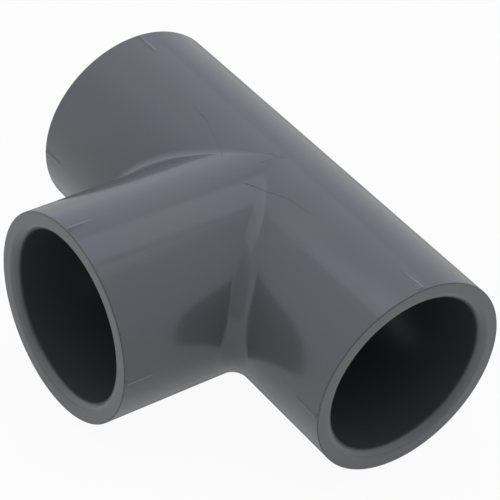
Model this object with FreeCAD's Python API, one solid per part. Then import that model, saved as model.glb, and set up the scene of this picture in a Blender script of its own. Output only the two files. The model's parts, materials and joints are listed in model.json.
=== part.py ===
"""Pipe tee with plain sockets for solvent-welded pressure pipe, heavy-wall 1-1/4 in (DN 32) size.

The fitting is one moulding. Two of its arms lie in line, which is the run, and the third is the branch,
square to it. Frame, in millimetres: the origin is where the arms' centre lines cross, the run lies along X,
the branch points to -Y, and +Z is up with the fitting lying on its side.
"""

import FreeCAD, Part
import math
import os

from itertools import combinations

from FreeCAD import Rotation, Vector

# Pipe that the sockets take
PIPE_DIA = 42.16  # outside diameter of the pipe
PIPE_WALL = 4.85  # its wall, so that its bore runs on flush into the waterway

# Sockets, the same at all three mouths
SOCKET_GAP = 0.04  # between pipe and socket wall, on the radius, at mid-depth of the real slight taper
SOCKET_DEPTH = 31.75  # from the mouth's face to the stop
SOCKET_WALL = 4.915  # moulded wall around a socket
STOP_LAND = 4.28  # from the side of a crossing socket to a stop
STOP_CHAMFER = 0.5  # broken edge where a stop meets the waterway

# Mouths
LEAD_IN_STEP = 2.3  # radial widening of the rounded lead-in, at the face
LEAD_IN_DEPTH = 2.4  # how far the lead-in reaches into the socket
RIM_ROUND = 0.25  # radius on the outer edge of a rim

# Body
CROTCH_RADIUS = 4.76  # fillet rolled along both corners between run and branch

# Alignment ribs: small ridges behind each rim, a quarter turn apart, that taper to a point
RIBS_PER_MOUTH = 4
RIB_WIDTH = 1.9  # at the end near the rim
RIB_HEIGHT = 0.45  # at the end near the rim
RIB_LENGTH = 8.2
RIB_SETBACK = 0.5  # from the face to the rib's blunt end
RIB_ROOT = 0.3  # how deep the rib's foot lies in the wall

# Worked out from the sizes above
SOCKET_RADIUS = PIPE_DIA / 2 + SOCKET_GAP
WATERWAY_RADIUS = PIPE_DIA / 2 - PIPE_WALL
OUTER_RADIUS = SOCKET_RADIUS + SOCKET_WALL
STOP_DISTANCE = SOCKET_RADIUS + STOP_LAND
FACE_DISTANCE = STOP_DISTANCE + SOCKET_DEPTH
CROTCH_REACH = OUTER_RADIUS + CROTCH_RADIUS  # from a centre line to the fillet's own centre

ORIGIN = Vector(0, 0, 0)
X_AXIS = Vector(1, 0, 0)
Z_AXIS = Vector(0, 0, 1)
MOUTH_TURNS = (0, 180, -90)  # degrees about +Z from the mouth at +X: the run's two ends, then the branch


def turned(shape, axis, degrees):
    """Return a copy of shape, turned about an axis through the origin."""
    copy = shape.copy()
    copy.rotate(ORIGIN, axis, degrees)
    return copy


def at_mouths(shape):
    """Return one copy of a shape drawn for the mouth at +X, for each of the three mouths."""
    return [turned(shape, Z_AXIS, degrees) for degrees in MOUTH_TURNS]


def revolved(edges):
    """Return the solid swept by a closed profile in the XZ plane, turned once about the X axis."""
    profile = Part.Face(Part.Wire(edges))
    return profile.revolve(ORIGIN, X_AXIS, 360)


def enclosed(faces):
    """Return the solid that faces meeting edge to edge enclose."""
    shell = Part.Shell(faces)
    shell.sewShape()
    return Part.makeSolid(shell)


def lines(points):
    """Return the straight edges that join (x, radius) points in the XZ plane, in order."""
    corners = [Vector(x, 0, radius) for x, radius in points]
    return [Part.makeLine(start, end) for start, end in zip(corners, corners[1:])]


def arc(centre, radius, start, end):
    """Return an arc in the XZ plane about an (x, radius) centre, between two angles from +X in degrees."""

    def point(angle):
        """Return the arc's point at one angle."""
        turn = math.radians(angle)
        return Vector(centre[0] + radius * math.cos(turn), 0, centre[1] + radius * math.sin(turn))

    return Part.Arc(point(start), point((start + end) / 2), point(end)).toShape()


def outer_arm():
    """Return the outside of one arm, from the centre to the mouth at +X, with the rim's edge rounded."""
    round_start = FACE_DISTANCE - RIM_ROUND
    rim_radius = OUTER_RADIUS - RIM_ROUND
    edges = lines(
        [
            (FACE_DISTANCE, rim_radius),
            (FACE_DISTANCE, 0),
            (0, 0),
            (0, OUTER_RADIUS),
            (round_start, OUTER_RADIUS),
        ]
    )
    edges.append(arc((round_start, rim_radius), RIM_ROUND, 90, 0))
    return revolved(edges)


def hollow_arm():
    """Return the hollow of one arm: waterway, stop, socket wall and rounded lead-in."""
    lead_start = FACE_DISTANCE - LEAD_IN_DEPTH
    lead_radius = (LEAD_IN_DEPTH**2 + LEAD_IN_STEP**2) / (2 * LEAD_IN_STEP)
    lead_turn = math.degrees(math.atan2(LEAD_IN_DEPTH, lead_radius - LEAD_IN_STEP))
    mouth_radius = SOCKET_RADIUS + LEAD_IN_STEP
    past_face = FACE_DISTANCE + LEAD_IN_DEPTH
    edges = lines(
        [
            (FACE_DISTANCE, mouth_radius),
            (past_face, mouth_radius),
            (past_face, 0),
            (0, 0),
            (0, WATERWAY_RADIUS),
            (STOP_DISTANCE - STOP_CHAMFER, WATERWAY_RADIUS),
            (STOP_DISTANCE, WATERWAY_RADIUS + STOP_CHAMFER),
            (STOP_DISTANCE, SOCKET_RADIUS),
            (lead_start, SOCKET_RADIUS),
        ]
    )
    edges.append(arc((lead_start, SOCKET_RADIUS + lead_radius), lead_radius, -90, lead_turn - 90))
    return revolved(edges)


def sector(toward, spread):
    """Return a prism that stands on the Z axis and opens toward one angle, spread degrees to each side.

    It is far larger than the tee, so that it cuts every arm right through.
    """
    reach = 4 * (FACE_DISTANCE + OUTER_RADIUS)
    left, right = (Rotation(Z_AXIS, toward + side * spread).multVec(X_AXIS * reach) for side in (1, -1))
    base = Vector(0, 0, -reach)
    triangle = Part.Face(Part.makePolygon([base, base + right, base + left, base]))
    return triangle.extrude(Vector(0, 0, 2 * reach))


def crotch_patch():
    """Return the upper half of the fillet surface between +X and -Y, as an exact rational patch.

    A level cut of the corner at height R sin(t) is the cut at mid-height, scaled by cos(t). So the patch is
    the product of a quarter circle in t, from mid-height to the top, and the fillet's own quarter circle.
    """
    rising = [(1, 0), (1, 1), (0, 1)]  # control points of (cos t, sin t)
    across = [(CROTCH_REACH, -OUTER_RADIUS), (OUTER_RADIUS, -OUTER_RADIUS), (OUTER_RADIUS, -CROTCH_REACH)]
    poles = [
        [Vector(scale * x, scale * y, rise * OUTER_RADIUS) for x, y in across] for scale, rise in rising
    ]
    quarter_circle = (1, math.sqrt(0.5), 1)  # weights that make three control points an exact arc
    weights = [[up * along for along in quarter_circle] for up in quarter_circle]
    patch = Part.BSplineSurface()
    patch.buildFromPolesMultsKnots(poles, (3, 3), (3, 3), (0, 1), (0, 1), False, False, 2, 2, weights)
    return patch.toShape()


def crotch_filler():
    """Return the solid behind the fillet between +X and -Y, out to upright planes through its long edges."""
    upper = crotch_patch()
    patches = [upper, upper.mirror(ORIGIN, Z_AXIS)]
    upright = [edge for patch in patches for edge in patch.Edges if edge.BoundBox.ZLength > OUTER_RADIUS / 2]
    upright.sort(key=lambda edge: edge.BoundBox.XMax)  # the two on the branch, then the two on the run
    spine = Part.makeLine(Vector(0, 0, -OUTER_RADIUS), Vector(0, 0, OUTER_RADIUS))
    planes = [Part.Wire(Part.sortEdges([*pair, spine])[0]) for pair in (upright[:2], upright[2:])]
    return enclosed([*patches, *map(Part.Face, planes)])


def outer_body():
    """Return the outside of the tee: run, branch and both filleted corners, which meet on upright planes."""
    contact = math.degrees(math.atan2(OUTER_RADIUS, CROTCH_REACH))
    right_arm, left_arm, branch_arm = at_mouths(outer_arm())
    run = right_arm.fuse(left_arm).removeSplitter().cut(sector(-90, 90 - contact))
    branch = branch_arm.common(sector(-90, contact))
    right_filler = crotch_filler()
    left_filler = right_filler.mirror(ORIGIN, X_AXIS)
    return run.multiFuse([branch, right_filler, left_filler]).removeSplitter()


def rib():
    """Return the rib on top of the mouth at +X: a slim pyramid with its foot buried in the wall.

    The slopes run on below the surface, so that the rib has its stated size where they leave the wall.
    """
    growth = (RIB_HEIGHT + RIB_ROOT) / RIB_HEIGHT
    blunt_end = FACE_DISTANCE - RIB_SETBACK
    foot = OUTER_RADIUS - RIB_ROOT
    half_width = growth * RIB_WIDTH / 2
    crest = Vector(blunt_end, 0, OUTER_RADIUS + RIB_HEIGHT)
    near_corner = Vector(blunt_end, -half_width, foot)
    far_corner = Vector(blunt_end, half_width, foot)
    tip = Vector(blunt_end - growth * RIB_LENGTH, 0, foot)
    sides = combinations((crest, near_corner, far_corner, tip), 3)
    return enclosed([Part.Face(Part.makePolygon([*side, side[0]])) for side in sides])


def ribs():
    """Return the ribs of all three mouths."""
    quarter = 360 / RIBS_PER_MOUTH
    around = [turned(rib(), X_AXIS, quarter * place) for place in range(RIBS_PER_MOUTH)]
    return [copy for one in around for copy in at_mouths(one)]


def tee_body():
    """Return the whole moulding."""
    first, *others = at_mouths(hollow_arm())
    hollow = first.multiFuse(others).removeSplitter()
    body = outer_body().multiFuse(ribs())
    return body.cut(hollow).removeSplitter().Solids[0]


os.makedirs("parts", exist_ok=True)
tee_body().exportStep("parts/tee_body.step")
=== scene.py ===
"""Looks of a solvent-weld pipe tee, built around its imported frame.

The tee is one moulding, so one smooth mesh stands for the frame's only node. Three equal arms are extruded
ring by ring, trimmed where they meet and joined by the rolled fillets of the crotches. Alignment ribs and the
mould's hairline witness marks are then worked into that mesh. All lengths are in metres.
"""

from __future__ import annotations

import json
import logging
import math
from dataclasses import dataclass
from enum import Enum
from itertools import pairwise
from typing import Any, Callable

import bmesh
import bpy
from mathutils import Matrix, Vector

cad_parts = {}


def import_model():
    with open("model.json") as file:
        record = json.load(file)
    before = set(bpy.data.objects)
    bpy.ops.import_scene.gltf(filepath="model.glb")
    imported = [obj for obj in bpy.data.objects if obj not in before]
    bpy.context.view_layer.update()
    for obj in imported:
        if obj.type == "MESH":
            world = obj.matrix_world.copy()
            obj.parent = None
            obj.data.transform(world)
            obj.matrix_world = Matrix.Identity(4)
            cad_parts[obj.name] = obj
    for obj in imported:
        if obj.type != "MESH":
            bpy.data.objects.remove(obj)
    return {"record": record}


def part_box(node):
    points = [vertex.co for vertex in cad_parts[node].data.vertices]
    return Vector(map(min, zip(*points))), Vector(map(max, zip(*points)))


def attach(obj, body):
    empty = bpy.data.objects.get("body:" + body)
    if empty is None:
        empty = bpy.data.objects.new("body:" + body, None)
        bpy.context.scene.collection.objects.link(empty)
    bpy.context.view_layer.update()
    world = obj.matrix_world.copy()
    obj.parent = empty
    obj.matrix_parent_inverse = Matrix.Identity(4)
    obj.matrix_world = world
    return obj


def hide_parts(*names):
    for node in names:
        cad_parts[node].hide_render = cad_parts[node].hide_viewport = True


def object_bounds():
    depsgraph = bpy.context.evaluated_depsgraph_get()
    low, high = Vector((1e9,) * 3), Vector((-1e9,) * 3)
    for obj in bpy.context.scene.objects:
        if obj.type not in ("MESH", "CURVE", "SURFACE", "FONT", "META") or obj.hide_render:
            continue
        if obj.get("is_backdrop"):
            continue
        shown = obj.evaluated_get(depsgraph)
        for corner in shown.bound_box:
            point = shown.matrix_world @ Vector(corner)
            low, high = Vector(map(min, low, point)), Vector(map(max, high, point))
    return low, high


MM = 0.001
MICRON = 1e-6

NODE = "tee_body"
BODY = "root"

log = logging.getLogger("tee")


# --- Hand tools -------------------------------------------


def deselect_all() -> None:
    """Leave object mode's selection empty."""
    for item in bpy.context.selected_objects:
        item.select_set(False)


def make_active(piece: bpy.types.Object) -> None:
    """Select one object alone and make it the active one.

    Args:
        piece: The object.
    """
    deselect_all()
    piece.select_set(True)
    bpy.context.view_layer.objects.active = piece


def new_piece(name: str) -> bpy.types.Object:
    """Name the primitive that was just added, and put its place and turn into its mesh.

    Args:
        name: The object's name.

    Returns:
        The object, at the origin and unturned.
    """
    piece = bpy.context.active_object
    piece.name = piece.data.name = name
    make_active(piece)
    bpy.ops.object.transform_apply(location=True, rotation=True, scale=True)
    return piece


class Editing:
    """Edit mode on one object, as a context that leaves it again."""

    def __init__(self, piece: bpy.types.Object, mode: str = "FACE") -> None:
        """Remember what to edit.

        Args:
            piece: The mesh object to edit.
            mode: The kind of element that is selected: VERT, EDGE or FACE.
        """
        self.piece = piece
        self.mode = mode

    def __enter__(self) -> Editing:
        """Enter edit mode with nothing selected.

        Returns:
            This context.
        """
        make_active(self.piece)
        bpy.ops.object.mode_set(mode="EDIT")
        bpy.ops.mesh.select_mode(type=self.mode)
        bpy.ops.mesh.select_all(action="DESELECT")
        return self

    def __exit__(self, *_: object) -> None:
        """Return to object mode."""
        bpy.ops.object.mode_set(mode="OBJECT")

    def select(self, wanted: Callable[[Vector], bool]) -> None:
        """Select the elements that lie where they are wanted, and only those.

        Args:
            wanted: Says of a point whether an element with its middle there is selected.
        """
        work = bmesh.from_edit_mesh(self.piece.data)
        middle: dict[str, Callable[[Any], Vector]] = {
            "VERT": lambda vertex: vertex.co,
            "EDGE": lambda edge: (edge.verts[0].co + edge.verts[1].co) / 2,
            "FACE": lambda face: face.calc_center_median(),
        }
        elements = {"VERT": work.verts, "EDGE": work.edges, "FACE": work.faces}[self.mode]
        bpy.ops.mesh.select_all(action="DESELECT")
        for element in elements:
            if wanted(middle[self.mode](element)):
                element.select_set(True)
        work.select_flush_mode()
        bmesh.update_edit_mesh(self.piece.data)

    def extrude(self, step: tuple[float, ...], scale: tuple[float, ...], middle: tuple[float, ...]) -> None:
        """Extrude the selection, which stays selected.

        Args:
            step: How far it moves.
            scale: How much it is then scaled along each axis.
            middle: The point about which it is scaled.
        """
        bpy.ops.mesh.extrude_region_move(TRANSFORM_OT_translate={"value": step})
        bpy.ops.transform.resize(value=scale, center_override=middle)


def copy_of(piece: bpy.types.Object, name: str) -> bpy.types.Object:
    """Copy an object with its own mesh.

    Args:
        piece: The object to copy.
        name: The copy's name.

    Returns:
        The copy.
    """
    copy = bpy.data.objects.new(name, piece.data.copy())
    bpy.context.scene.collection.objects.link(copy)
    copy.data.name = name
    return copy


def joined(pieces: list[bpy.types.Object]) -> bpy.types.Object:
    """Join objects into the first of them.

    Args:
        pieces: The objects, of which only the first remains.

    Returns:
        The first object, which then holds them all.
    """
    make_active(pieces[0])
    for piece in pieces[1:]:
        piece.select_set(True)
    bpy.ops.object.join()
    return pieces[0]


def apply_modifier(piece: bpy.types.Object, kind: str, **settings: Any) -> None:
    """Add a modifier with these settings and apply it.

    Args:
        piece: The object that is modified.
        kind: Blender's name for the kind of modifier.
        **settings: The modifier's own settings.
    """
    make_active(piece)
    modifier = piece.modifiers.new(kind.title(), kind)
    for setting, value in settings.items():
        setattr(modifier, setting, value)
    bpy.ops.object.modifier_apply(modifier=modifier.name)


def discard(piece: bpy.types.Object) -> None:
    """Delete a helper object and its mesh.

    Args:
        piece: The helper.
    """
    data = piece.data
    bpy.data.objects.remove(piece)
    bpy.data.meshes.remove(data)


def arc(centre: tuple[float, float], radius: float, start: float, end: float,
        steps: int) -> list[tuple[float, float]]:
    """Work out the points of an arc in an (x, radius) section.

    Args:
        centre: The arc's centre.
        radius: The arc's radius.
        start: Angle of the first point from +X, in radians.
        end: Angle of the last point.
        steps: Number of facets.

    Returns:
        The points, both ends included.
    """
    turns = [start + (end - start) * step / steps for step in range(steps + 1)]
    return [(centre[0] + radius * math.cos(turn), centre[1] + radius * math.sin(turn)) for turn in turns]


# --- Sizes ------------------------------------------------


@dataclass(frozen=True)
class TeeSizes:
    """Sizes of the tee, in metres. Those without a value here come from the frame.

    Attributes:
        face_distance: From the crossing of the centre lines to a mouth's face.
        outer_radius: Radius of the arms outside.
        socket_radius: Radius of the sockets that take the pipe.
        stop_distance: From the crossing to the stop that the pipe's end meets.
        waterway_radius: Radius of the passage past the stops.
        lead_in_depth: How far the rounded lead-in reaches into a socket.
        stop_chamfer: Broken edge where a stop meets the waterway.
        lead_in_step: Radial widening of the lead-in, at the face.
        rim_round: Radius on the outer edge of a rim.
        crotch_radius: Fillet rolled along both corners between run and branch.
    """

    face_distance: float
    outer_radius: float
    socket_radius: float
    stop_distance: float
    waterway_radius: float
    lead_in_depth: float
    stop_chamfer: float
    lead_in_step: float = 2.3 * MM
    rim_round: float = 0.25 * MM
    crotch_radius: float = 4.76 * MM

    @classmethod
    def from_frame(cls, record: dict[str, Any], rib_height: float) -> TeeSizes:
        """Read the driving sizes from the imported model.

        Args:
            record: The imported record, whose mounts hold the bores' sizes.
            rib_height: How far the alignment ribs stand proud, which the model's box includes.

        Returns:
            The tee's sizes.
        """
        _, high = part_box(NODE)
        bores = {mount["name"]: mount for mount in record["mounts"]}
        socket, waterway = bores["run_socket_right"], bores["run_waterway"]
        stop = socket["pos_m"][0]
        return cls(
            face_distance=high.x,
            outer_radius=high.z - rib_height,
            socket_radius=socket["dims"]["r_mm"] * MM,
            stop_distance=stop,
            waterway_radius=waterway["dims"]["r_mm"] * MM,
            lead_in_depth=high.x - stop - socket["dims"]["length_mm"] * MM,
            stop_chamfer=stop - waterway["dims"]["length_mm"] * MM / 2,
        )

    @property
    def crotch_reach(self) -> float:
        """Distance from a centre line to the crotch fillet's own centre."""
        return self.outer_radius + self.crotch_radius


class Mouth(Enum):
    """The three mouths: the arm's turn about +Z in degrees, and the sides on which it meets an arm.

    A side is 1 for the arm's left and -1 for its right, looking out of the mouth.
    """

    RUN_RIGHT = (0, (-1,))
    RUN_LEFT = (180, (1,))
    BRANCH = (-90, (1, -1))

    @property
    def turn(self) -> float:
        """The arm's turn about +Z, in radians."""
        return math.radians(self.value[0])

    @property
    def trimmed_sides(self) -> tuple[int, ...]:
        """The sides on which a neighbouring arm leaves this one."""
        return self.value[1]


# --- The moulding -----------------------------------------


@dataclass
class Body:
    """The tee's body: three hollow arms and the fillets in both crotches, as one closed mesh.

    Attributes:
        sizes: The tee's sizes.
        facets: Facets round an arm, a multiple of four.
        fillet_steps: Facets across a crotch fillet.
        rim_steps: Facets across the round of a rim.
        lead_in_steps: Facets along a lead-in.
    """

    sizes: TeeSizes
    facets: int = 192
    fillet_steps: int = 16
    rim_steps: int = 6
    lead_in_steps: int = 12

    def build(self) -> bpy.types.Object:
        """Build the body.

        Returns:
            The body's object, closed, with its faces pointing outwards.
        """
        arm = self._arm()
        pieces = [self._trimmed(arm, mouth) for mouth in Mouth]
        discard(arm)
        body = joined([*pieces, self._crotches()])
        with Editing(body, "VERT"):
            bpy.ops.mesh.select_all(action="SELECT")
            bpy.ops.mesh.remove_doubles(threshold=MICRON)
            bpy.ops.mesh.normals_make_consistent(inside=False)
        with Editing(body, "EDGE") as edit:
            edit.select(self._on_waterway_corner)
            bpy.ops.mesh.mark_sharp()
        return body

    def _on_waterway_corner(self, middle: Vector) -> bool:
        """Whether an edge is part of the corner where the branch's waterway opens into the run's."""
        inside = math.hypot(middle.y, middle.z) < self.sizes.waterway_radius + MICRON
        return inside and abs(abs(middle.x) + middle.y) < MICRON

    def _section(self) -> list[tuple[float, float]]:
        """Work out an arm's section from the rim's round, over the face and in to the crossing.

        Returns:
            The section's (x, radius) points after the round's first one, which the cylinder gives.
        """
        size = self.sizes
        face, depth, step = size.face_distance, size.lead_in_depth, size.lead_in_step
        rim = arc((face - size.rim_round, size.outer_radius - size.rim_round), size.rim_round,
                  math.pi / 2, 0, self.rim_steps)
        lead_radius = (depth**2 + step**2) / (2 * step)
        lead_turn = math.atan2(depth, lead_radius - step)
        lead_in = arc((face - depth, size.socket_radius + lead_radius), lead_radius,
                      lead_turn - math.pi / 2, -math.pi / 2, self.lead_in_steps)
        inside = [
            (size.stop_distance, size.socket_radius),
            (size.stop_distance, size.waterway_radius + size.stop_chamfer),
            (size.stop_distance - size.stop_chamfer, size.waterway_radius),
            (0.0, size.waterway_radius),
        ]
        return [*rim[1:], *lead_in, *inside]

    def _arm(self) -> bpy.types.Object:
        """Model one whole arm: a cylinder whose far end is extruded ring by ring.

        Returns:
            The arm, with its mouth at +X.
        """
        size = self.sizes
        length = size.face_distance - size.rim_round
        bpy.ops.mesh.primitive_cylinder_add(
            vertices=self.facets, radius=size.outer_radius, depth=length, end_fill_type="NGON",
            location=(length / 2, 0, 0), rotation=(0, math.pi / 2, 0))
        arm = new_piece("arm")
        with Editing(arm) as edit:
            edit.select(lambda middle: middle.x < MICRON)
            bpy.ops.mesh.delete(type="FACE")
            edit.select(lambda middle: middle.x > length - MICRON)
            rings = [(length, size.outer_radius), *self._section()]
            for (x, radius), (next_x, next_radius) in pairwise(rings):
                share = next_radius / radius
                edit.extrude((next_x - x, 0, 0), (1, share, share), (next_x, 0, 0))
            bpy.ops.mesh.delete(type="FACE")
        return arm

    def _trimmed(self, arm: bpy.types.Object, mouth: Mouth) -> bpy.types.Object:
        """Copy the arm to one mouth and cut it back where its neighbours meet it.

        The outer wall ends on the upright plane through the fillet's long edge, and the waterway on the
        upright plane halfway between the two arms.

        Args:
            arm: The whole arm, with its mouth at +X.
            mouth: The mouth that the copy is for.

        Returns:
            The trimmed arm at its place.
        """
        size = self.sizes
        closeness = 0.1 * MM
        copy = copy_of(arm, f"arm_{mouth.name.lower()}")
        with Editing(copy) as edit:
            for side in mouth.trimmed_sides:
                walls = {
                    size.outer_radius: (size.outer_radius, -side * size.crotch_reach, 0),
                    size.waterway_radius: (1, -side, 0),
                }
                for radius, plane in walls.items():
                    edit.select(lambda middle, wall=radius: middle.x < size.face_distance - size.rim_round
                                and abs(math.hypot(middle.y, middle.z) - wall) < closeness)
                    bpy.ops.mesh.bisect(plane_co=(0, 0, 0), plane_no=plane, clear_inner=True,
                                        threshold=MICRON / 10)
        copy.data.transform(Matrix.Rotation(mouth.turn, 4, "Z"))
        return copy

    def _crotches(self) -> bpy.types.Object:
        """Model the fillets of both crotches.

        A level cut of the corner at height R sin(t) is its cut at mid-height, scaled by cos(t). So the
        quarter circle at mid-height is extruded upwards in steps that shrink towards the Z axis.

        Returns:
            All four quarters of the fillets as one object.
        """
        size = self.sizes
        reach, outer = size.crotch_reach, size.outer_radius
        bpy.ops.mesh.primitive_circle_add(vertices=4 * self.fillet_steps, radius=size.crotch_radius,
                                          fill_type="NOTHING", location=(reach, -reach, 0))
        fillet = new_piece("crotches")
        levels = [2 * math.pi * step / self.facets for step in range(self.facets // 4 + 1)]
        with Editing(fillet, "EDGE") as edit:
            edit.select(lambda middle: middle.x > reach or middle.y < -reach)
            bpy.ops.mesh.delete(type="EDGE")
            bpy.ops.mesh.select_all(action="SELECT")
            for level, higher in pairwise(levels):
                rise = outer * (math.sin(higher) - math.sin(level))
                share = max(math.cos(higher), 0) / math.cos(level)
                edit.extrude((0, 0, rise), (share, share, 1), (0, 0, 0))
        apply_modifier(fillet, "MIRROR", use_axis=(True, False, True), use_mirror_merge=True,
                       merge_threshold=MICRON)
        return fillet


@dataclass
class AlignmentRibs:
    """The short ridges behind each rim, a quarter turn apart, that close to a point.

    Attributes:
        sizes: The tee's sizes.
        per_mouth: Ribs at each mouth.
        width: Width of the blunt end where it leaves the wall.
        height: Height of the blunt end above the wall.
        waist: From the blunt end to where the ridge starts to close.
        waist_height: Height at the waist.
        length: From the blunt end to the point.
        setback: From the mouth's face to the blunt end.
        lean: How far the blunt end leans back from foot to crest.
        root: How deep a rib is widest below the wall.
        crest_round: Width that the rounding takes off each side of the crest.
        crest_steps: Facets across the rounding.
    """

    sizes: TeeSizes
    per_mouth: int = 4
    width: float = 1.9 * MM
    height: float = 0.45 * MM
    waist: float = 6.2 * MM
    waist_height: float = 0.34 * MM
    length: float = 8.4 * MM
    setback: float = 0.4 * MM
    lean: float = 0.3 * MM
    root: float = 0.3 * MM
    crest_round: float = 0.12 * MM
    crest_steps: int = 4

    def build(self) -> bpy.types.Object:
        """Model one rib and copy it round every mouth.

        Returns:
            All the ribs as one object, their feet inside the wall.
        """
        rib = self._rib()
        copies = []
        for mouth in Mouth:
            for quarter in range(self.per_mouth):
                copy = copy_of(rib, f"rib_{mouth.name.lower()}_{quarter}")
                around = Matrix.Rotation(2 * math.pi * quarter / self.per_mouth, 4, "X")
                copy.data.transform(Matrix.Rotation(mouth.turn, 4, "Z") @ around)
                copies.append(copy)
        discard(rib)
        return joined(copies)

    def _rib(self) -> bpy.types.Object:
        """Model one rib: a square bar on its edge, flattened, with only its ridge proud of the wall.

        Returns:
            The top rib of the mouth at +X.
        """
        wall, blunt_end = self.sizes.outer_radius, self.sizes.face_distance - self.setback
        depth = wall - self.root
        flank = math.atan2(2 * self.height, self.width)
        base = self.root + self.crest_round * math.tan(flank / 2)
        rings = (
            (blunt_end, self.root),
            (blunt_end - self.lean, base + self.height),
            (blunt_end - self.waist, base + self.waist_height),
            (blunt_end - self.length, self.root),
        )
        bpy.ops.mesh.primitive_circle_add(vertices=4, radius=self.root, fill_type="NGON",
                                          location=(blunt_end, 0, depth), rotation=(0, math.pi / 2, 0))
        rib = new_piece("rib")
        with Editing(rib) as edit:
            bpy.ops.mesh.select_all(action="SELECT")
            bpy.ops.transform.resize(value=(1, 1 / math.tan(flank), 1), center_override=(0, 0, 0))
            for (x, rise), (next_x, next_rise) in pairwise(rings):
                share = next_rise / rise
                edit.extrude((next_x - x, 0, 0), (1, share, share), (next_x, 0, depth))
            bpy.ops.mesh.select_all(action="SELECT")
            bpy.ops.mesh.normals_make_consistent(inside=False)
        with Editing(rib, "EDGE") as edit:
            edit.select(lambda middle: middle.z > wall - MICRON and abs(middle.y) < MICRON)
            bpy.ops.mesh.bevel(offset=self.crest_round, segments=self.crest_steps, affect="EDGES")
        return rib


@dataclass
class WitnessLine:
    """A hairline that the mould left in the wall.

    Attributes:
        name: What the line is called.
        route: Points that the line follows, in millimetres from the crossing, seen from above.
        width: Width of the hairline at its widest.
        depth: Depth of the hairline at its widest.
        order: Order of the curve that smooths the route.
        span_steps: Steps of that curve from one point of the route to the next.
        roundness: Blender's bevel resolution for the wire.
    """

    name: str
    route: tuple[tuple[float, float], ...]
    width: float = 0.26 * MM
    depth: float = 0.08 * MM
    order: int = 3
    span_steps: int = 6
    roundness: int = 3

    def cutter(self, wall: bpy.types.Object) -> bpy.types.Object:
        """Model the thin wire that is cut out of the wall along the line, most of it above the wall.

        Args:
            wall: The body that the line lies on.

        Returns:
            The wire's mesh, thin at both ends.
        """
        above = wall.dimensions.z
        radius = (self.width**2 / 4 + self.depth**2) / (2 * self.depth)
        bpy.ops.curve.primitive_nurbs_path_add()
        bpy.ops.object.mode_set(mode="EDIT")
        bpy.ops.curve.delete(type="VERT")
        for x, y in self.route:
            bpy.ops.curve.vertex_add(location=(x * MM, y * MM, above))
        bpy.ops.object.mode_set(mode="OBJECT")
        wire = bpy.context.active_object
        wire.name = wire.data.name = self.name
        spline = wire.data.splines[0]
        spline.order_u = self.order
        spline.use_endpoint_u = True
        spline.resolution_u = self.span_steps
        make_active(wire)
        bpy.ops.object.convert(target="MESH")
        apply_modifier(wire, "SHRINKWRAP", target=wall, wrap_method="PROJECT", use_project_z=True,
                       use_negative_direction=True, use_positive_direction=False)
        wire.data.transform(Matrix.Translation((0, 0, radius - self.depth)))
        make_active(wire)
        bpy.ops.object.convert(target="CURVE")
        line = wire.data
        line.bevel_depth = radius
        line.bevel_resolution = self.roundness
        line.use_fill_caps = True
        points = line.splines[0].points
        for place, point in enumerate(points):
            fade = math.sqrt(math.sin(math.pi * (place + 0.5) / len(points)))
            point.radius = 1 - (1 - fade) * self.depth / radius
        bpy.ops.object.convert(target="MESH")
        return wire


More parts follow.
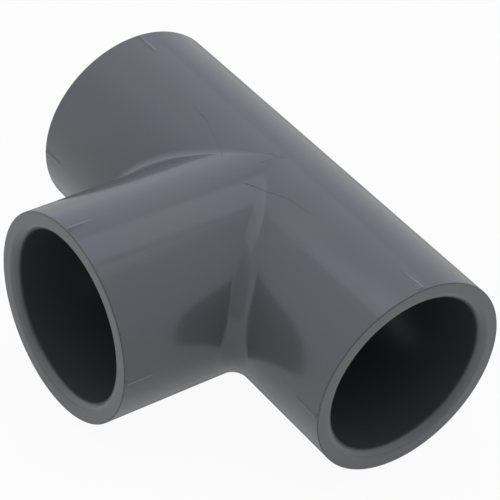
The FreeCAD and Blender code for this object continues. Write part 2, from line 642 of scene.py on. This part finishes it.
@dataclass
class Moulding:
    """The finished moulding: body, ribs and witness lines in one closed mesh.

    Attributes:
        sizes: The tee's sizes.
        ribs: The alignment ribs.
        lines: The hairlines left by the mould.
        sharp_angle: Edges that turn by more than this stay crisp, in degrees.
        face_lead: How strongly large faces lead the shading where facets meet them, up to 100.
        facet_sag: How far a facet may lie inside the round wall.
        wall_play: How far a point may lie off the plain body and still count as its wall.
    """

    sizes: TeeSizes
    ribs: AlignmentRibs
    lines: tuple[WitnessLine, ...]
    sharp_angle: float = 20.0
    face_lead: int = 100
    facet_sag: float = 10 * MICRON
    wall_play: float = 2 * MICRON

    def build(self) -> bpy.types.Object:
        """Build the moulding.

        Returns:
            The finished object, at the origin.
        """
        piece = Body(self.sizes).build()
        piece.name = piece.data.name = "tee_moulding"
        self._smooth(piece)
        plain = copy_of(piece, "plain_body")
        ribs = self.ribs.build()
        apply_modifier(piece, "BOOLEAN", object=ribs, operation="UNION", solver="EXACT")
        discard(ribs)
        for line in self.lines:
            cutter = line.cutter(plain)
            apply_modifier(piece, "BOOLEAN", object=cutter, operation="DIFFERENCE", solver="EXACT")
            discard(cutter)
        self._smooth(piece)
        self._even_out(piece, plain)
        discard(plain)
        return piece

    def _smooth(self, piece: bpy.types.Object) -> None:
        """Shade curved faces smooth, keep corners crisp and let large faces lead where facets meet them."""
        make_active(piece)
        bpy.ops.object.shade_smooth_by_angle(angle=math.radians(self.sharp_angle))
        apply_modifier(piece, "WEIGHTED_NORMAL", keep_sharp=True, weight=self.face_lead)

    def _even_out(self, piece: bpy.types.Object, plain: bpy.types.Object) -> None:
        """Take the outer wall's shading from the body as it was before ribs and lines were worked in.

        Args:
            piece: The finished mesh.
            plain: The body without ribs and lines.
        """
        mesh = piece.data
        wall = piece.vertex_groups.new(name="outer_wall")
        skin = [vertex.index for vertex in mesh.vertices if self._on_wall(vertex.co, plain)]
        wall.add(skin, 1.0, "REPLACE")
        worked = [face for face in mesh.polygons if not self._on_wall(face.center, plain)]
        own = {corner: mesh.corner_normals[corner].vector.copy() for face in worked
               for corner in face.loop_indices}
        apply_modifier(piece, "DATA_TRANSFER", object=plain, use_loop_data=True,
                       data_types_loops={"CUSTOM_NORMAL"}, loop_mapping="POLYINTERP_NEAREST",
                       vertex_group=wall.name)
        mesh.normals_split_custom_set([own.get(corner, normal.vector)
                                       for corner, normal in enumerate(mesh.corner_normals)])
        piece.vertex_groups.clear()

    def _on_wall(self, spot: Vector, plain: bpy.types.Object) -> bool:
        """Say whether a point lies on the outer wall as it was before ribs and lines were worked in.

        Args:
            spot: The point.
            plain: The body without ribs and lines.

        Returns:
            Whether it does.
        """
        limit = self.sizes.face_distance - self.sizes.rim_round
        skin = self.sizes.outer_radius - self.facet_sag
        if max(abs(spot.x), abs(spot.y)) > limit or self._off_axis(spot) < skin:
            return False
        return (plain.closest_point_on_mesh(spot)[1] - spot).length < self.wall_play

    def _off_axis(self, spot: Vector) -> float:
        """Distance of a point from the nearer centre line."""
        run, branch = math.hypot(spot.y, spot.z), math.hypot(spot.x, spot.z)
        return min(run, branch) if spot.y < 0 else run


# --- Finish -----------------------------------------------


# What may feed a node's input: another node's output, or a plain number
Source = bpy.types.NodeSocket | float

# Places of the Mix node's inputs and of its output for colours
MIX_SHARE = 0
MIX_NUMBERS = (2, 3)
MIX_COLOURS = (6, 7)
MIX_COLOUR_OUT = 2


class Grain(Enum):
    """How much finer detail a noise carries on top of its lumps."""

    SOFT = 1.0
    PLAIN = 2.0
    MIXED = 3.0
    RICH = 4.0


class NodeTree:
    """A shader's nodes, added and linked in one call each."""

    def __init__(self, tree: bpy.types.NodeTree) -> None:
        """Start from an empty tree.

        Args:
            tree: The tree of a material or a world.
        """
        self.tree = tree
        tree.nodes.clear()

    def add(self, kind: str, sources: dict[str | int, Any] | None = None, **settings: Any) -> bpy.types.Node:
        """Add a node.

        Args:
            kind: Blender's name for the node, without its ShaderNode.
            sources: What feeds the node's inputs: a socket to link, or a plain value.
            **settings: The node's own settings.

        Returns:
            The node.
        """
        node = self.tree.nodes.new(f"ShaderNode{kind}")
        for setting, value in settings.items():
            setattr(node, setting, value)
        for place, source in (sources or {}).items():
            if isinstance(source, bpy.types.NodeSocket):
                self.tree.links.new(source, node.inputs[place])
            else:
                node.inputs[place].default_value = source
        return node

    def math(self, operation: str, first: Source, second: Source = 0.0) -> bpy.types.NodeSocket:
        """Work out a number from one or two others."""
        return self.add("Math", {0: first, 1: second}, operation=operation).outputs[0]

    def ramp(self, value: Source, start: float, end: float, low: float = 0.0,
             high: float = 1.0) -> bpy.types.NodeSocket:
        """Go smoothly from one number to another.

        Args:
            value: What the result follows.
            start: The value at which the result leaves low.
            end: The value at which it reaches high.
            low: The result before the start.
            high: The result past the end.

        Returns:
            The result.
        """
        sources = {"Value": value, "From Min": start, "From Max": end, "To Min": low, "To Max": high}
        return self.add("MapRange", sources, interpolation_type="SMOOTHSTEP").outputs[0]

    def noise(self, where: Source, size: float, grain: Grain = Grain.PLAIN) -> bpy.types.NodeSocket:
        """Noise whose lumps are of a given size, in the units of where."""
        sources = {"Vector": where, "Scale": 1 / size, "Detail": grain.value}
        return self.add("TexNoise", sources).outputs["Fac"]

    def blend(self, share: Source, value: Source, other: Source) -> bpy.types.NodeSocket:
        """Blend from one number to another."""
        first, second = MIX_NUMBERS
        return self.add("Mix", {MIX_SHARE: share, first: value, second: other}).outputs[0]

    def tinted(self, share: Source, colour: Any, other: Any) -> bpy.types.NodeSocket:
        """Blend from one colour to another."""
        first, second = MIX_COLOURS
        node = self.add("Mix", {MIX_SHARE: share, first: colour, second: other}, data_type="RGBA")
        return node.outputs[MIX_COLOUR_OUT]


@dataclass(frozen=True)
class Regions:
    """Where the moulding's surfaces lie, each as a share from 0 to 1.

    Attributes:
        rim: The trimmed rims.
        edge: The thin line along a rim's outer edge, darkened by painted shade.
        hollow: Lead-ins, sockets and waterway.
        deep: The hollows past the lead-ins, darkened by painted shade.
        outside: The outer wall.
    """

    rim: bpy.types.NodeSocket
    edge: bpy.types.NodeSocket
    hollow: bpy.types.NodeSocket
    deep: bpy.types.NodeSocket
    outside: bpy.types.NodeSocket


@dataclass(frozen=True)
class MouldedPvc:
    """Dark grey pressure-pipe PVC: satin outside, drier on the trimmed rims and inside the sockets.

    Lengths are in millimetres, as the patterns read them.

    Attributes:
        sizes: The tee's sizes, which say where rims and sockets are.
        colour: Linear base colour of the wall.
        streak_colour: Colour of the paler swirls in the wall.
        rim_tone_painted_light: Lighter colour of rims, partly their own finish and partly painted light;
            painted light on lead-ins.
        edge_shade_colour: Colour of the dark line of painted shade along a rim's outer edge.
        speck_colour: Colour of the few dark specks.
        refraction: Index of refraction.
        gloss: Roughness of the wall where the mould was smoothest.
        haze: Roughness that the duller patches add.
        rim_roughness: Roughness of the trimmed rims.
        socket_shade_colour: Darker colour painted as shade deep inside the sockets and the waterway.
        socket_roughness: Roughness there.
        fade: Shares of turning away from the eye between which the gloss fades.
        specular: Specular levels of the full and of the faded gloss.
        swirl: Size of the paler swirls.
        patch: Size of the duller patches.
        patch_share: Part that the patches have in the haze. The mottle has the rest.
        patch_band: Stretch of the noise over which a swirl or a patch comes in.
        mottle: Size of the fine mottle in the gloss.
        mottle_band: Stretch of the noise over which the mottle comes in.
        swell: Size of the slow waves in the wall.
        swell_height: Height of these waves.
        peel: Size of the fine orange peel.
        peel_height: Height of the orange peel.
        drag: Width of the faint drag marks that ejection left along the arms.
        drag_height: Height of the drag marks.
        drag_draw: Scale of their pattern along a mark, which draws it out.
        speck_spacing: Spacing of the places where a speck may lie.
        speck_bare: Share of these places that stay bare.
        speck_size: Radius of a speck.
        rim_inset: From a face to where the rim's own look is complete, down the rim's round.
        edge_inward: Depths below the outer wall between which the edge line comes in.
        edge_back: Distances behind a face between which the edge line comes in.
        hollow_near: Part of the lead-in's widening that is left where a hollow's look is complete.
        deep_near: Distances from the socket wall between which the painted shade of the deep hollows comes
            in.
        back_push: How strongly a point behind the run is pushed away from the branch's centre line.
    """

    sizes: TeeSizes
    colour: tuple[float, float, float] = (0.0866, 0.0917, 0.0975)
    streak_colour: tuple[float, float, float] = (0.0915, 0.0950, 0.0975)
    rim_tone_painted_light: tuple[float, float, float] = (0.118, 0.119, 0.119)
    edge_shade_colour: tuple[float, float, float] = (0.058, 0.060, 0.062)
    speck_colour: tuple[float, float, float] = (0.045, 0.046, 0.048)
    refraction: float = 1.53
    gloss: float = 0.13
    haze: float = 0.07
    rim_roughness: float = 0.42
    socket_shade_colour: tuple[float, float, float] = (0.052, 0.055, 0.060)
    socket_roughness: float = 0.34
    fade: tuple[float, float] = (0.58, 0.90)
    specular: tuple[float, float] = (0.5, 0.004)
    swirl: float = 27.5
    patch: float = 14.0
    patch_share: float = 0.65
    patch_band: tuple[float, float] = (0.35, 0.7)
    mottle: float = 1.4
    mottle_band: tuple[float, float] = (0.3, 0.7)
    swell: float = 11.0
    swell_height: float = 0.045
    peel: float = 0.8
    peel_height: float = 0.0012
    drag: float = 0.7
    drag_height: float = 0.0010
    drag_draw: float = 0.03
    speck_spacing: float = 6.5
    speck_bare: float = 0.45
    speck_size: float = 0.2
    rim_inset: float = 0.05
    edge_inward: tuple[float, float] = (0.35, 0.15)
    edge_back: tuple[float, float] = (0.45, 0.15)
    hollow_near: float = 0.25
    deep_near: tuple[float, float] = (0.3, 0.03)
    back_push: float = 10.0

    def material(self) -> bpy.types.Material:
        """Build the material.

        Returns:
            The material, its patterns in the object's own coordinates.
        """
        made = bpy.data.materials.new("moulded_pvc")
        made.use_nodes = True
        nodes = NodeTree(made.node_tree)
        objects = nodes.add("TexCoord").outputs["Object"]
        where = nodes.add("Mapping", {"Vector": objects, "Scale": (1 / MM, 1 / MM, 1 / MM)}).outputs[0]
        regions = self._regions(nodes, where)
        shader = nodes.add("BsdfPrincipled", {
            "Base Color": self._colour(nodes, where, regions),
            "Roughness": self._roughness(nodes, where, regions),
            "IOR": self.refraction,
            "Specular IOR Level": self._gloss_left(nodes),
            "Normal": self._relief(nodes, where, regions),
        })
        nodes.add("OutputMaterial", {"Surface": shader.outputs[0]})
        return made

    def _length(self, nodes: NodeTree, across: Source, up: Source) -> bpy.types.NodeSocket:
        """Length of an arrow with these two parts."""
        arrow = nodes.add("CombineXYZ", {0: across, 1: up}).outputs[0]
        return nodes.add("VectorMath", {0: arrow}, operation="LENGTH").outputs["Value"]

    def _regions(self, nodes: NodeTree, where: bpy.types.NodeSocket) -> Regions:
        """Tell the surfaces apart by their reach along an arm and their distance from its centre line.

        Args:
            nodes: The material's nodes.
            where: The point, in millimetres.

        Returns:
            The share of each surface.
        """
        size = self.sizes
        face, outer = size.face_distance / MM, size.outer_radius / MM
        socket_radius, step = size.socket_radius / MM, size.lead_in_step / MM
        x, y, z = nodes.add("SeparateXYZ", {0: where}).outputs
        reach = nodes.math("MAXIMUM", nodes.math("ABSOLUTE", x), nodes.math("MULTIPLY", y, -1.0))
        behind = nodes.math("MULTIPLY", nodes.math("MAXIMUM", y, 0.0), self.back_push)
        branch = nodes.math("ADD", self._length(nodes, x, z), behind)
        off_axis = nodes.math("MINIMUM", self._length(nodes, y, z), branch)
        rim = nodes.ramp(reach, face - size.rim_round / MM, face - self.rim_inset)
        inward = nodes.ramp(off_axis, *(outer - depth for depth in self.edge_inward))
        back = nodes.ramp(reach, *(face - distance for distance in self.edge_back))
        hollow = nodes.ramp(off_axis, socket_radius + step, socket_radius + step * self.hollow_near)
        return Regions(
            rim=rim,
            edge=nodes.math("MULTIPLY", inward, back),
            hollow=hollow,
            deep=nodes.ramp(off_axis, *(socket_radius + distance for distance in self.deep_near)),
            outside=nodes.math("SUBTRACT", 1.0, nodes.math("MAXIMUM", rim, hollow)),
        )

    def _gloss_left(self, nodes: NodeTree) -> bpy.types.NodeSocket:
        """Strength of the gloss: the fine satin grain shades itself where the wall is seen at a slant."""
        facing = nodes.add("LayerWeight").outputs["Facing"]
        return nodes.ramp(facing, *self.fade, *self.specular)

    def _colour(self, nodes: NodeTree, where: Source, regions: Regions) -> bpy.types.NodeSocket:
        """Colour the wall grey with paler swirls and specks, lighten rims and lead-ins partly as painted
        light, and paint shade in the hollows and on rim edges.

        Args:
            nodes: The material's nodes.
            where: The point, in millimetres.
            regions: The share of each surface.

        Returns:
            The base colour.
        """
        swirl = nodes.ramp(nodes.noise(where, self.swirl, Grain.RICH), *self.patch_band)
        wall = nodes.tinted(swirl, (*self.colour, 1), (*self.streak_colour, 1))
        cells = nodes.add("TexVoronoi", {"Vector": where, "Scale": 1 / self.speck_spacing})
        speck_reach = self.speck_size / self.speck_spacing
        near = nodes.ramp(cells.outputs["Distance"], speck_reach, speck_reach / 2)
        chance = nodes.add("SeparateColor", {0: cells.outputs["Color"]}).outputs[0]
        speck = nodes.math("MULTIPLY", near, nodes.math("GREATER_THAN", chance, self.speck_bare))
        specked = nodes.tinted(nodes.math("MULTIPLY", speck, regions.outside), wall, (*self.speck_colour, 1))
        # Painted light: rims get a lighter tone, partly their own finish, and lead-ins get it to offset their
        # shade.
        lighter_share = nodes.math("MAXIMUM", regions.rim, regions.hollow)
        lightened = nodes.tinted(lighter_share, specked, (*self.rim_tone_painted_light, 1))
        # Painted shade: the hollows past the lead-ins are darkened.
        shaded_deep = nodes.tinted(regions.deep, lightened, (*self.socket_shade_colour, 1))
        # Painted shade: a dark line along each rim's outer edge.
        return nodes.tinted(regions.edge, shaded_deep, (*self.edge_shade_colour, 1))

    def _roughness(self, nodes: NodeTree, where: Source, regions: Regions) -> bpy.types.NodeSocket:
        """Make the wall satin with duller patches and fine mottle, and rims and hollows drier.

        Args:
            nodes: The material's nodes.
            where: The point, in millimetres.
            regions: The share of each surface.

        Returns:
            The roughness.
        """
        patches = nodes.ramp(nodes.noise(where, self.patch, Grain.MIXED), *self.patch_band)
        mottle = nodes.ramp(nodes.noise(where, self.mottle, Grain.MIXED), *self.mottle_band)
        share = nodes.math("ADD", nodes.math("MULTIPLY", patches, self.patch_share),
                           nodes.math("MULTIPLY", mottle, 1 - self.patch_share))
        wall = nodes.math("ADD", nodes.math("MULTIPLY", share, self.haze), self.gloss)
        inside = nodes.blend(regions.hollow, wall, self.socket_roughness)
        return nodes.blend(regions.rim, inside, self.rim_roughness)

    def _relief(self, nodes: NodeTree, where: Source, regions: Regions) -> bpy.types.NodeSocket:
        """Raise slow waves and orange peel everywhere, and ejection's drag marks on the outer wall.

        Args:
            nodes: The material's nodes.
            where: The point, in millimetres.
            regions: The share of each surface.

        Returns:
            The shading normal.
        """
        waves = nodes.noise(where, self.swell, Grain.SOFT)
        peel = nodes.noise(where, self.peel)
        wavy = nodes.add("Bump", {"Height": waves, "Distance": self.swell_height * MM, "Strength": 1.0})
        peeled = nodes.add("Bump", {"Height": peel, "Distance": self.peel_height * MM, "Strength": 1.0,
                                    "Normal": wavy.outputs[0]})
        depth = nodes.add("SeparateXYZ", {0: where}).outputs[1]
        run, branch = self.sizes.crotch_reach / MM, self.sizes.outer_radius / MM
        marks = nodes.blend(nodes.ramp(depth, -branch, -run),
                            self._drawn(nodes, where, (self.drag_draw, 1, 1)),
                            self._drawn(nodes, where, (1, self.drag_draw, 1)))
        dragged = nodes.add("Bump", {"Height": marks, "Distance": self.drag_height * MM,
                                     "Strength": regions.outside, "Normal": peeled.outputs[0]})
        return dragged.outputs[0]

    def _drawn(self, nodes: NodeTree, where: Source, scale: tuple[float, ...]) -> bpy.types.NodeSocket:
        """Noise drawn out along the axis of which the scale is small."""
        drawn = nodes.add("Mapping", {"Vector": where, "Scale": scale}).outputs[0]
        return nodes.noise(drawn, self.drag, Grain.MIXED)


# --- Studio -----------------------------------------------


COOL_WHITE = (0.93, 0.96, 1.045)


@dataclass(frozen=True)
class Aim:
    """Where something stands that looks at the crossing.

    Attributes:
        azimuth: Degrees round from the branch's side towards +X.
        elevation: Degrees above the horizon.
        roll: Degrees that it is rolled about its line of sight.
    """

    azimuth: float
    elevation: float
    roll: float = 0.0

    @property
    def back(self) -> Vector:
        """Direction from the crossing to it."""
        turn, rise = math.radians(self.azimuth), math.radians(self.elevation)
        return Vector((math.sin(turn) * math.cos(rise), -math.cos(turn) * math.cos(rise), math.sin(rise)))

    def turn(self) -> Matrix:
        """Work out its turn.

        Returns:
            The turn, whose columns are its right, its up and its back.
        """
        back, tilt = self.back, math.radians(self.roll)
        level = Vector((0, 0, 1)).cross(back).normalized()
        upright = back.cross(level)
        right = level * math.cos(tilt) + upright * math.sin(tilt)
        up = upright * math.cos(tilt) - level * math.sin(tilt)
        return Matrix((right, up, back)).transposed()


@dataclass(frozen=True)
class SoftBox:
    """A rectangular soft light that faces the tee.

    Attributes:
        name: What the light is called.
        aim: Where it stands.
        distance: From the crossing to its middle.
        width: Its width.
        height: Its height.
        radiance: How bright it looks, where 1 is white.
        tint: Linear colour of its light.
    """

    name: str
    aim: Aim
    distance: float
    width: float
    height: float
    radiance: float
    tint: tuple[float, float, float] = COOL_WHITE

    def build(self) -> bpy.types.Object:
        """Place the light in the scene.

        Returns:
            The light.
        """
        lamp = bpy.data.lights.new(self.name, "AREA")
        lamp.shape = "RECTANGLE"
        lamp.size, lamp.size_y = self.width, self.height
        lamp.energy = self.radiance * math.pi * self.width * self.height
        lamp.color = self.tint
        light = bpy.data.objects.new(self.name, lamp)
        place = self.aim.back * self.distance
        light.matrix_world = Matrix.Translation(place) @ self.aim.turn().to_4x4()
        bpy.context.scene.collection.objects.link(light)
        return light


@dataclass(frozen=True)
class Camera:
    """The photograph's viewpoint, as fitted to the tee's outline.

    Attributes:
        aim: Where it stands.
        distance: From the crossing of the centre lines to the lens, along the line of sight.
        focal_length: Focal length in pixels.
        picture: Width and height of the picture in pixels.
        crossing_pixel: Where the crossing lies in the picture, from its top left corner.
        sensor: Width of the film gate in millimetres.
        clip: Nearest and farthest distance that it sees.
    """

    aim: Aim = Aim(azimuth=50.465, elevation=38.704, roll=6.100)
    distance: float = 0.57975
    focal_length: float = 2394.6
    picture: float = 500.0
    crossing_pixel: tuple[float, float] = (262.15, 241.31)
    sensor: float = 36.0
    clip: tuple[float, float] = (0.05, 20.0)

    def build(self) -> bpy.types.Object:
        """Place the camera and make it the scene's own.

        Returns:
            The camera.
        """
        turn = self.aim.turn()
        right, up, back = turn.col
        scale = self.distance / self.focal_length
        aside = (self.crossing_pixel[0] - self.picture / 2) * scale
        below = (self.crossing_pixel[1] - self.picture / 2) * scale
        lens = bpy.data.cameras.new("camera")
        lens.sensor_width = self.sensor
        lens.lens = self.focal_length * self.sensor / self.picture
        lens.clip_start, lens.clip_end = self.clip
        camera = bpy.data.objects.new("camera", lens)
        place = back * self.distance - right * aside + up * below
        camera.matrix_world = Matrix.Translation(place) @ turn.to_4x4()
        bpy.context.scene.collection.objects.link(camera)
        bpy.context.scene.camera = camera
        return camera


@dataclass(frozen=True)
class Surroundings:
    """Even light from all round, dimmer on the camera's side.

    Attributes:
        strength: How bright the surroundings are, where 1 is white.
        dim_strength: How bright they are in the middle of the dim side.
        dim_side: Middle of the dim side.
        reach: Degrees from that middle to where the light is halfway.
        softness: Degrees over which it changes.
        tint: Linear colour of the light.
    """

    strength: float = 0.92
    dim_strength: float = 0.52
    dim_side: Aim = Aim(azimuth=59.6, elevation=27.7)
    reach: float = 41.0
    softness: float = 16.0
    tint: tuple[float, float, float] = COOL_WHITE

    def build(self) -> bpy.types.World:
        """Make the surroundings the scene's own.

        Returns:
            The world that holds them.
        """
        world = bpy.data.worlds.new("studio")
        world.use_nodes = True
        nodes = NodeTree(world.node_tree)
        direction = nodes.add("TexCoord").outputs["Generated"]
        sources = {0: direction, 1: self.dim_side.back}
        closeness = nodes.add("VectorMath", sources, operation="DOT_PRODUCT").outputs["Value"]
        outer, inner = (math.cos(math.radians(self.reach + side * self.softness / 2)) for side in (1, -1))
        light = nodes.ramp(closeness, outer, inner, self.strength, self.dim_strength)
        background = nodes.add("Background", {"Color": (*self.tint, 1), "Strength": light})
        nodes.add("OutputWorld", {"Surface": background.outputs[0]})
        bpy.context.scene.world = world
        return world


@dataclass(frozen=True)
class Floor:
    """Round pale floor, near white to the camera and dimmer in gloss, that keeps a soft shadow.

    Attributes:
        height: Height of the floor.
        radius: Radius of the floor.
        facets: Facets round the floor.
        colour: Linear colour of the floor.
        glow: Share of plain white with which the camera sees it.
        gloss_share: Part of that share with which glossy surfaces show it.
    """

    height: float
    radius: float = 1.5
    facets: int = 64
    colour: tuple[float, float, float] = (0.72, 0.69, 0.65)
    glow: float = 0.94
    gloss_share: float = 0.65

    def build(self) -> bpy.types.Object:
        """Lay the floor under the tee.

        Returns:
            The floor.
        """
        bpy.ops.mesh.primitive_circle_add(vertices=self.facets, radius=self.radius, fill_type="NGON",
                                          location=(0, 0, self.height))
        floor = new_piece("floor")
        floor.data.materials.append(self._paper())
        floor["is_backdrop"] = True
        return floor

    def _paper(self) -> bpy.types.Material:
        """Make white paper, whose glow only camera, gloss and glass see, so that it lights nothing.

        Returns:
            The material.
        """
        made = bpy.data.materials.new("floor_paper")
        made.use_nodes = True
        made.cycles.emission_sampling = "NONE"
        nodes = NodeTree(made.node_tree)
        paper = nodes.add("BsdfDiffuse", {"Color": (*self.colour, 1)})
        white = nodes.add("Emission", {"Color": (1, 1, 1, 1), "Strength": 1.0})
        ray = nodes.add("LightPath").outputs
        seen = nodes.math("MAXIMUM", ray["Is Camera Ray"], ray["Is Transmission Ray"])
        seen = nodes.math("MAXIMUM", seen, nodes.math("MULTIPLY", ray["Is Glossy Ray"], self.gloss_share))
        share = nodes.math("MULTIPLY", seen, self.glow)
        blend = nodes.add("MixShader", {0: share, 1: paper.outputs[0], 2: white.outputs[0]})
        nodes.add("OutputMaterial", {"Surface": blend.outputs[0]})
        return made


LIGHTS = (
    SoftBox("overhead_box", Aim(azimuth=-121.6, elevation=71.1, roll=14.6), distance=1.2, width=1.22,
            height=0.60, radiance=0.70),
    SoftBox("zenith_panel", Aim(azimuth=113.6, elevation=81.3, roll=-46.6), distance=1.2, width=1.04,
            height=0.36, radiance=0.45),
    SoftBox("side_panel", Aim(azimuth=-86.5, elevation=18.6, roll=36.0), distance=1.2, width=1.35,
            height=2.88, radiance=0.23),
)


# --- Putting it together ----------------------------------

LINES = (
    WitnessLine("witness_right", ((0.4, -23.1), (0.1, -19.3), (0.5, -17.5), (1.4, -15.9), (3.7, -13.2),
                                  (5.7, -11.1), (8.1, -9.1), (9.8, -8.2), (13.8, -6.5), (17.5, -5.6),
                                  (21.5, -5.1), (24.7, -5.0), (27.5, -4.7)),
                width=0.24 * MM, depth=0.05 * MM),
    WitnessLine("witness_left", ((-26.8, -4.6), (-23.2, -4.75), (-18.9, -5.2), (-15.1, -6.4), (-11.9, -7.2),
                                 (-8.7, -8.3), (-6.4, -9.8))),
    WitnessLine("scuff_long", ((0.75, -9.4), (0.9, -5.5), (1.15, -2.2), (1.2, 0.4), (0.95, 2.6), (0.65, 4.4)),
                width=0.2 * MM, depth=0.05 * MM),
    WitnessLine("scuff_short", ((-1.1, -1.1), (-0.5, 0.2), (0.6, 0.6), (1.6, 1.0)),
                width=0.22 * MM, depth=0.06 * MM),
    WitnessLine("scuff_end", ((1.7, 0.2), (1.8, 1.2), (1.95, 2.2), (1.9, 2.8)),
                width=0.22 * MM, depth=0.06 * MM),
)


def main() -> None:
    """Build the tee around its frame and set the studio."""
    logging.basicConfig(level=logging.INFO, format="%(name)s: %(message)s")
    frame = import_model()
    cad_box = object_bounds()
    sizes = TeeSizes.from_frame(frame["record"], AlignmentRibs.height)
    ribs = AlignmentRibs(sizes)
    moulding = Moulding(sizes, ribs, LINES).build()
    moulding.data.materials.clear()
    moulding.data.materials.append(MouldedPvc(sizes).material())
    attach(moulding, BODY)
    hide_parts(NODE)
    log.info("%s: %d faces", moulding.name, len(moulding.data.polygons))
    bpy.context.scene.view_settings.view_transform = "Standard"
    for part in (Camera(), Surroundings(), Floor(cad_box[0].z), *LIGHTS):
        log.info("%s is in place", part.build().name)
    bpy.context.view_layer.update()


if __name__ == "__main__":
    main()
